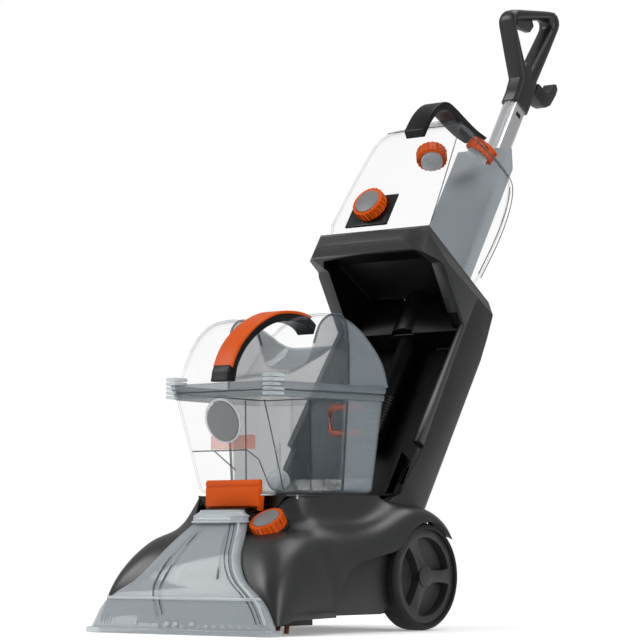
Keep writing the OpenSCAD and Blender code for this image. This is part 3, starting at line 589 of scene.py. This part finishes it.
for side, word in SIDES:
    for step in range(5):
        z = 322 + step * 6.2
        outline = [(93, z), (86, z), (86, z + 4.6), (93, z + 4.6), (112, z + 4.6), (112, z)]
        owner = "dirty_tank" if z < RIM - 1 else "tank_lid"
        rib = extruded(outline, *on_side(side, 80, 98), on_base, bevel=1.2, segments=2)
        finished(rib, "finger_rib_%s_%d" % (word, step), owner, "clear_plastic", clear_pale)

# ---- lid with two lobes ----

LID_FOOT = 341
LID_TOP = [(97, LID_FOOT), (103, 346), (111, 362), (119, 384), (130, 404), (146, 421), (169, 434),
           (200, 440.5), (224, 442), (248, 438), (272, 427), (296, 406), (313, 382), (319, 350),
           (320.5, LID_FOOT)]
LID_HALF = [(97, 91), (119, 94), (169, 103), (224, 110.5), (320.5, 113.5)]
LID_VALLEY = [(97, 1), (112, 7), (150, 12), (210, 18), (258, 40), (296, 64), (320.5, 0)]


def lid_section(depth, top):
    """Half the lid's section at a depth, from its side edge up over the lobe and down to the valley."""
    half = between(LID_HALF, depth)
    rise = top - LID_FOOT
    valley = LID_FOOT + min(rise, between(LID_VALLEY, depth))
    peak = top - valley
    wall = [(half - x, LID_FOOT + share * rise)
            for x, share in ((0, 0), (0, 0.3), (1, 0.62), (5, 0.86), (15, 0.975))]
    lobe = [(half - 27, top), (half - 40, LID_FOOT + 0.97 * rise)]
    slope = [(half - x, valley + share * peak) for x, share in ((53, 0.80), (63, 0.45), (70, 0.15))]
    return wall + lobe + slope + [(max(half - 80, 12), valley), (0, valley)]


lid_rows = []
for depth, top in smooth_line(LID_TOP, 3):
    half_line = lid_section(depth, top)
    full = half_line + [(-x, z) for x, z in reversed(half_line[:-1])]
    lid_rows.append([on_base(x, depth, z) for x, z in full])
lid_shell = walled(sheet_of(lid_rows), 2.4, levels=1)
finished(lid_shell, "lid_shell", "tank_lid", "clear_plastic", tank_clear, 50)
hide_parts("tank_lid")

SEAM_DEPTH = 234
seam_half = lid_section(SEAM_DEPTH, between(LID_TOP, SEAM_DEPTH))
for side, word in SIDES:
    over = [on_base(side * (x + 0.6), SEAM_DEPTH, z + 0.6) for x, z in seam_half[:9]]
    seam = tube(smooth_line(over, 3), 1.7)
    finished(seam, "lid_seam_" + word, "tank_lid", "clear_plastic", clear_tinted, 60)
    side_line = [on_base(side * (101.4 + 8.9 * (z - 190) / 129), 232, z) for z in (194, 230, 270, 318)]
    finished(tube(side_line, 1.8), "tank_seam_" + word, "dirty_tank", "clear_plastic", clear_tinted, 60)

# Clear ring round the badge, and the orange parts that show through the walls.
RING_RADIUS = 30.5
ring_path = []
for k in range(33):
    a = 2 * math.pi * k / 32
    rise = RING_RADIUS * math.sin(a)
    ring_path.append(on_base(RING_RADIUS * math.cos(a), 96.6 - 0.262 * rise, 289 + 0.965 * rise))
finished(tube(ring_path, 1.7, 8), "badge_ring", "dirty_tank", "clear_plastic", clear_pale, 60)
plate = extruded([(118, 251), (121, 251), (121, 270), (118, 270)], -42, 38, on_base, bevel=1)
finished(plate, "inlet_flap", "dirty_tank", "clear_plastic", amber_clear)
CLIP = [(86, 314), (36, 314), (30, 309), (30, 283), (36, 277), (86, 277)]
clip_path = [on_base(x, 292, z) for x, z in CLIP]
finished(tube(clip_path, 4.5, 10), "rear_clip", "dirty_tank", "clear_plastic", amber_clear, 60)
for name, path in (
    ("inner_ledge", [(-70, 112, 249), (30, 112, 249), (48, 116, 236), (62, 122, 200)]),
    ("inner_brace", [(-30, 112, 249), (6, 116, 222)]),
    ("inner_post_near", [(46, 130, 318), (62, 134, 250), (74, 138, 194)]),
    ("inner_post_far", [(10, 132, 318), (10, 134, 194)]),
    ("inner_post_mid", [(86, 180, 318), (84, 184, 194)]),
):
    moulding = tube([on_base(*p) for p in path], 1.0, 8)
    finished(moulding, name, "dirty_tank", "clear_plastic", clear_tinted, 60)

# ---- handles of smooth straps ----


def strap(outer, thickness, x0, x1, place, centre, bevel):
    """A strap that follows a curve, thickness measured towards a centre."""
    curve = smooth_line(outer, 5)
    inner = []
    for a, b in reversed(curve):
        away = Vector((a - centre[0], b - centre[1])).normalized()
        inner.append((a - away.x * thickness, b - away.y * thickness))
    return extruded(curve + inner, x0, x1, place, bevel, 3)


LID_HANDLE = [(94, 364), (104, 384), (121, 405), (153, 429), (195, 446), (239, 449), (268, 444)]
grip_strap = strap(LID_HANDLE, 4.5, -17.5, 17.5, on_base, (190, 300), 1.6)
finished(grip_strap, "lid_handle_strap", "tank_lid", "orange_plastic")
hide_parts("lid_handle_grip")
core_top = [(a + 3, b - 3.6) for a, b in LID_HANDLE[1:-1]]
core = [(87, 343), (89, 352), (92, 362)] + core_top + [(268, 440), (280, 432)]
core_under = [(274, 418), (262, 428), (236, 434), (196, 431), (160, 416), (130, 393), (112, 368), (107, 352),
              (105, 343)]
handle_core = extruded(smooth_line(core, 3) + smooth_line(core_under, 3), -15.5, 15.5, on_base, 1.6)
finished(handle_core, "lid_handle_body", "tank_lid", "dark_plastic")
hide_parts("lid_handle_core")

# ---- floor nozzle ----

# Rows of height, half width, front and back, and the corner's radius where it isn't 10.
NOZZLE = [(8, 162, 2, 26), (16, 158, 3, 27), (25, 153, 4, 28), (36, 146, 5.5, 30), (47.5, 135, 8, 33),
          (49, 132, 8.4, 33), (57, 121, 11, 36), (70, 99, 19, 42), (86, 83, 27, 50), (105, 70, 39, 62),
          (122, 61, 54, 77), (140, 50, 72, 96), (152, 41, 84, 108)]
NECK = [(150, 45, 76, 108, 15), (156, 45, 77, 109, 15), (161, 43, 80, 109, 14), (164.5, 38, 85, 107, 10),
        (166, 30, 90, 104, 6)]
NECK_RINGS = [(150.5, 46, 75, 109), (158.5, 44.5, 78.5, 110), (165.5, 36, 86, 106)]


def nozzle_line(height, half, y0, y1, radius=10):
    """The nozzle's outline at a height."""
    return rounded_line(on_base, height, half, half, y0, y1, radius, 6)


nozzle = sheet_of([nozzle_line(*row) for row in smooth_line(NOZZLE, 2)], closed=True)
nozzle = finished(walled(nozzle, 2.4), "nozzle_shell", "base", "smoke_plastic", angle=50)
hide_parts("nozzle_cover")
for name, path in (
    ("nozzle_rib_left", [(-24, 92, 150), (-30, 68, 132), (-44, 36, 98), (-52, 20, 70), (-48, 11, 52),
                         (-36, 6, 22)]),
    ("nozzle_rib_inner", [(-16, 92, 150), (-22, 62, 128), (-34, 30, 88), (-40, 18, 66), (-36, 10, 48),
                          (-26, 6, 26)]),
    ("nozzle_rib_right", [(24, 92, 150), (34, 62, 126), (52, 32, 90), (58, 22, 74)]),
):
    rib = tube([on_base(*p) for p in smooth_line(path, 4)], 2.2)
    finished(rib, name, "base", "smoke_plastic", clear_tinted, 60)

band_line = [p for p in nozzle_line(48, 135.5, 7.4, 33) if p.y < on_base(0, 22, 0).y]
band_line.sort(key=lambda p: p.x)
finished(tube(band_line, 2.0, 8), "nozzle_band", "base", "smoke_plastic", clear_pale, 60)
for k in range(3):
    edge_line = [on_base(half - 2 - 7 * k, y0 + 1.5 - 0.6 * k, z) for z, half, y0, y1 in NOZZLE[1:]]
    radius, look = (1.0, clear_tinted) if k else (1.8, clear_pale)
    edge = tube(smooth_line(edge_line, 2), radius, 8)
    finished(edge, "nozzle_edge_%d" % k, "base", "smoke_plastic", look, 60)
neck_rows = [nozzle_line(*row) for row in NECK]
neck_glass = walled(sheet_of(neck_rows + [middle(neck_rows[-1])], closed=True), 1.6)
finished(neck_glass, "neck_glass", "base", "smoke_plastic", clear_pale, 50)
for k, (height, half, front, back) in enumerate(NECK_RINGS):
    oval = nozzle_line(height, half, front, back, (back - front) / 2 - 0.5)
    finished(tube(oval + oval[:1], 1.5, 8), "neck_ring_%d" % k, "base", "smoke_plastic", clear_pale, 60)
for k, (x, width) in enumerate(((-75, 4), (-18, 7), (-3, 7), (27, 7))):
    window = extruded([(0.6, 12), (3, 12), (3, 17), (0.6, 17)], x, x + width, on_base, bevel=0.6)
    finished(window, "lip_window_%d" % k, "base", "smoke_plastic", clear_pale)
for k in range(5):
    x = -140 + 6 * k
    tick = extruded([(1.2, 12), (2.6, 12), (4.4, 25), (3.0, 25)], x, x + 1.4, on_base, bevel=0.3)
    finished(tick, "lip_tick_%d" % k, "base", "smoke_plastic", clear_pale)

# ---- clean-water tank ----


def clean_line(up, front, back, v0, v1, radius):
    """The clean tank's outline at a height above the pivot."""
    return rounded_line(on_upright, up, front, back, v0, v1, radius, 7)


# Rows of height above the pivot, half width in front and at the back, front, back and corner radius.
CLEAN = [(413, 93, 95, -161, -19, 14), (421, 95, 99, -162.5, -17, 16), (440, 98, 103, -168, -15.5, 16),
         (480, 94, 105, -168, -14.7, 16.5), (520, 90, 107, -168, -14, 17),
         (560, 85.5, 104, -167, -14.5, 17.5),
         (592, 81, 100, -166, -15.5, 18), (604, 79, 97, -164, -18, 20), (616, 76, 92, -160, -22, 22),
         (625, 73, 86, -154.5, -26, 23), (632, 69, 78, -148, -30, 24), (644, 57, 64, -139, -34, 24),
         (655, 46, 50, -130, -38, 24), (664, 34, 37, -124, -46, 22), (668.5, 26, 28, -120, -52, 22)]
rings = [clean_line(*row) for row in CLEAN]
clean_body = sheet_of([middle(rings[0])] + rings + [middle(rings[-1])], closed=True)
clean_body = finished(walled(clean_body, 2.5), "clean_tank_body", "clean_tank", "clear_plastic", angle=42)
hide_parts("clean_tank")
for side, word in SIDES:
    joint = joints["filler_%s_turn" % word]
    axis = Vector(joint["axis"])
    foot = Vector(joint["pos_m"]) + axis * (-0.020)
    path = [foot + axis * (k * 0.004) for k in range(5)]
    finished(tube(path, 16.8, 32), "filler_neck_" + word, "clean_tank", "clear_plastic", clear_pale, 50)

for name, path in (
    ("clean_edge_front", [(-62, -158.5, 618), (0, -160, 619), (68, -158.5, 618)]),
    ("clean_edge_corner", [(96, -160, 432), (91, -161, 500), (82, -160, 580), (74, -156, 614)]),
    ("clean_edge_top", [(74, -154, 617), (84, -90, 620), (88, -30, 616)]),
    ("clean_edge_top_inner", [(62, -146, 636), (68, -90, 640), (70, -36, 636)]),
    ("clean_edge_rear", [(99, -20, 432), (104.5, -18, 500), (103, -18, 560), (96, -21, 600), (84, -27, 622),
                         (60, -36, 645)]),
    ("clean_edge_rear_inner", [(101, -30, 432), (106, -28, 500), (104.5, -28, 560), (98, -31, 596)]),
):
    line = [on_upright(*p) for p in smooth_line(path, 4)]
    finished(tube(line, 0.8, 8), name, "clean_tank", "clear_plastic", clear_tinted, 60)

CARRY = [(-171, 607), (-168, 640), (-158, 668), (-142, 684), (-120, 689), (-94, 691), (-62, 694.5),
         (-33, 701.5)]
carry = strap(CARRY, 13, -18.5, 18.5, on_upright, (-95, 560), 3)
finished(carry, "carry_strap", "clean_tank", "dark_plastic")
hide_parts("carry_handle")

# ---- grip ----

# Round corners of the loop's outside and of its opening, as (back, up, radius).
LOOP_OUTSIDE = [(12, 862, 22), (-61, 923, 17), (18, 985, 18)]
LOOP_OPENING = [(1, 875, 6), (-55, 914, 9), (8, 971, 9)]
LOOP_CENTRE = (-17, 922)


def loop_reach(corners, angle):
    """How far the hull of round corners reaches from the loop's centre at an angle."""
    best = math.inf
    for k in range(240):
        turn = math.tau * k / 240
        facing = math.cos(turn - angle)
        if facing < 0.05:
            continue
        support = max(v * math.cos(turn) + u * math.sin(turn) + radius for v, u, radius in corners)
        from_centre = support - LOOP_CENTRE[0] * math.cos(turn) - LOOP_CENTRE[1] * math.sin(turn)
        best = min(best, from_centre / facing)
    return best


LOOP_STEPS, LOOP_AROUND = 72, 16
LOOP_HALF_WIDTH = 16.5
LOOP_FULLNESS = 0.75  # 1 is a round bar, and less is fuller at the corners


def fuller(share):
    """A sine or cosine that makes a rounded square in place of a circle."""
    return math.copysign(abs(share) ** LOOP_FULLNESS, share)


loop_rows = []
for k in range(LOOP_STEPS + 1):
    angle = math.tau * (k % LOOP_STEPS) / LOOP_STEPS
    far, near = loop_reach(LOOP_OUTSIDE, angle), loop_reach(LOOP_OPENING, angle)
    row = []
    for i in range(LOOP_AROUND):
        a = math.tau * i / LOOP_AROUND
        reach = 0.5 * (far + near) + 0.5 * (far - near) * fuller(math.cos(a))
        side = LOOP_HALF_WIDTH * fuller(math.sin(a))
        row.append(on_upright(side, LOOP_CENTRE[0] + reach * math.cos(angle),
                              LOOP_CENTRE[1] + reach * math.sin(angle)))
    loop_rows.append(row)
loop = sheet_of(loop_rows, closed=True)
finished(loop, "grip_loop_moulding", "upright", "handle_plastic", angle=60)
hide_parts("grip_loop")
STEM = [(806, 16.4, -2, 38), (806.5, 17, -2.5, 38.5), (828, 17, -2.5, 38.5), (848, 16.6, -6, 37.5),
        (866, 16, -11, 34), (880, 12, -8, 26)]
stem_rows = [clean_line(up, half, half, v0, v1, 9) for up, half, v0, v1 in STEM]
stem_rows = [middle(stem_rows[0])] + stem_rows + [middle(stem_rows[-1])]
finished(sheet_of(stem_rows, closed=True), "grip_stem", "upright", "handle_plastic", angle=50)

tube_slot = extruded([(12, 786), (24, 786), (24, 793), (12, 793)], 13.1, 13.9, on_upright, bevel=0.3)
finished(tube_slot, "tube_slot", "upright", "dark_plastic")

# Caps over the axle's ends.
AXLE_DEPTH, AXLE_HEIGHT = 345, 75
CAP_RADIUS = 11
turns = [math.tau * k / 32 for k in range(32)]
cap_points = [(AXLE_DEPTH + CAP_RADIUS * math.cos(t), AXLE_HEIGHT + CAP_RADIUS * math.sin(t)) for t in turns]
for side, word in SIDES:
    cap = extruded(cap_points, *on_side(side, 158.6, 161.6), on_base, bevel=1.2)
    finished(cap, "hub_cap_" + word, "wheel_" + word, "wheel_plastic")

# The crown's roof behind the tank, either side of the motor.
ROOF = [(-22, 398.6), (6, 398.6), (6, 403.4), (-22, 403.4)]
for side, word in SIDES:
    roof = extruded(ROOF, *on_side(side, 36, 93.5), on_upright, bevel=0.5)
    finished(roof, "crown_roof_" + word, "upright", "dark_plastic")

# ---- carried-over parts with moulded edges, each with its edge's width in millimetres ----

for node, name, edge in (
    ("bezel", "crown_and_frame", 6.0),
    ("rear_shell", "upright_shell", 3.0),
    ("spine_cover", "spine_housing", 3.0),
    ("tank_shelf", "clean_tank_shelf", 1.0),
    ("cavity_liner", "cavity_wall", 0.6),
    ("handle_tube", "handle_tube_drawn", 0.0),
    ("upper_cord_hook", "swivel_cord_hook", 2.2),
    ("lower_cord_hook", "fixed_cord_hook", 2.0),
    ("trigger", "finger_trigger", 1.2),
    ("tank_latch", "latch_moulding", 1.6),
    ("port_cap", "port_cap_moulding", 0.5),
    ("port_cap_disc", "port_cap_plate", 0.4),
    ("hose_port", "port_tube", 0.8),
    ("filler_cap_left", "filler_cap_left_moulding", 0.5),
    ("filler_cap_right", "filler_cap_right_moulding", 0.5),
    ("solution_cap", "solution_cap_moulding", 0.5),
    ("solution_cap_disc", "solution_cap_plate", 0.4),
    ("solution_panel", "solution_plate", 0.8),
    ("hub_left", "hub_left_moulding", 1.0),
    ("hub_right", "hub_right_moulding", 1.0),
    ("tyre_left", "tyre_left_moulding", 1.5),
    ("tyre_right", "tyre_right_moulding", 1.5),
    ("recline_pedal", "pedal_moulding", 1.0),
    ("chassis", "chassis_moulding", 0.8),
    ("nozzle_duct", "duct_moulding", 1.0),
    ("nozzle_lip", "lip_strip", 0.8),
    ("tank_badge", "badge_plate", 0.8),
    ("brush_housing", "brush_cover", 1.0),
    ("air_duct", "duct_with_cuff", 0.8),
    ("motor_housing", "motor_shroud", 0.8),
    ("power_switch", "rocker_switch", 0.8),
    ("cord_gland", "lead_gland", 0.6),
    ("standpipe", "clear_standpipe", 0.8),
    ("float", "float_ball", 0.0),
    ("brush_core", "brush_shaft", 0.6),
    ("brush_motor", "brush_motor_can", 0.8),
    ("pivot_trunnions", "pivot_stubs", 0.6),
    ("spray_bar", "spray_pipe", 0.0),
    ("solution_pump", "pump_case", 1.0),
):
    softened(node, name, edge, material=clear_pale if node == "float" else None)

# ---- floor, light and camera ----

WHITE = (1, 1, 1, 1)
VIEW_PLACE = (2.3743, -3.0278, 0.1233)
VIEW_TILT, VIEW_TURN = 94.88, 39.5  # degrees
LENS, SENSOR = 146.25, 36  # millimetres

deselect()
bpy.ops.mesh.primitive_plane_add(size=14, location=(0, 0, -0.0005))
floor = bpy.context.object
floor.name = "studio_floor"
floor_material, tree = new_material("pale_studio_floor")
place = add(tree, "ShaderNodeTexCoord").outputs["Object"]
reach = add(tree, "ShaderNodeVectorMath", {"operation": "LENGTH"}, {0: place})
far = add(tree, "ShaderNodeMapRange", {"From Min": 0.6, "From Max": 1.1}, {"Value": reach.outputs["Value"]})
near_floor = add(tree, "ShaderNodeBsdfPrincipled", {
    "Base Color": linear("#fbfbfb"), "Roughness": 0.55, "Specular IOR Level": 0.2, "Emission Strength": 0.26,
    "Emission Color": WHITE})
far_floor = add(tree, "ShaderNodeEmission", {"Strength": 1.0})
blend = add(tree, "ShaderNodeMixShader", None, {
    0: far.outputs["Result"], 1: near_floor.outputs["BSDF"], 2: far_floor.outputs["Emission"]})
add(tree, "ShaderNodeOutputMaterial", None, {"Surface": blend.outputs[0]})
floor.data.materials.append(floor_material)

world = bpy.data.worlds.new("soft_studio")
bpy.context.scene.world = world
world.use_nodes = True
world.node_tree.nodes.clear()
rays = add(world.node_tree, "ShaderNodeLightPath")
dome = add(world.node_tree, "ShaderNodeBackground", {"Color": WHITE, "Strength": 0.42})
seen = add(world.node_tree, "ShaderNodeBackground", {"Color": WHITE, "Strength": 1.0})
both = add(world.node_tree, "ShaderNodeMixShader", None, {
    0: rays.outputs["Is Camera Ray"], 1: dome.outputs[0], 2: seen.outputs[0]})
add(world.node_tree, "ShaderNodeOutputWorld", None, {"Surface": both.outputs[0]})


def softbox(name, place, aim, size, watts):
    """A rectangular lamp that faces a point."""
    deselect()
    bpy.ops.object.light_add(type="AREA", location=place)
    light = bpy.context.object
    light.name = name
    light.data.shape = "RECTANGLE"
    light.data.size, light.data.size_y = size
    light.data.energy = watts
    light.rotation_euler = (Vector(aim) - Vector(place)).to_track_quat("-Z", "Y").to_euler()


softbox("key_softbox", (-2.2, -2.4, 2.6), (0, 0, 0.4), (2.0, 2.0), 75)
softbox("side_softbox", (3.2, -0.6, 1.6), (0, 0, 0.3), (1.4, 2.4), 42)
softbox("top_softbox", (0.2, 0.8, 3.2), (0, 0, 0.4), (2.4, 1.6), 45)

deselect()
bpy.ops.object.camera_add(location=VIEW_PLACE,
                          rotation=(math.radians(VIEW_TILT), 0, math.radians(VIEW_TURN)))
camera = bpy.context.object
camera.name = "view_camera"
camera.data.lens = LENS
camera.data.sensor_width = SENSOR
bpy.context.scene.camera = camera
bpy.context.scene.view_settings.view_transform = "Standard"
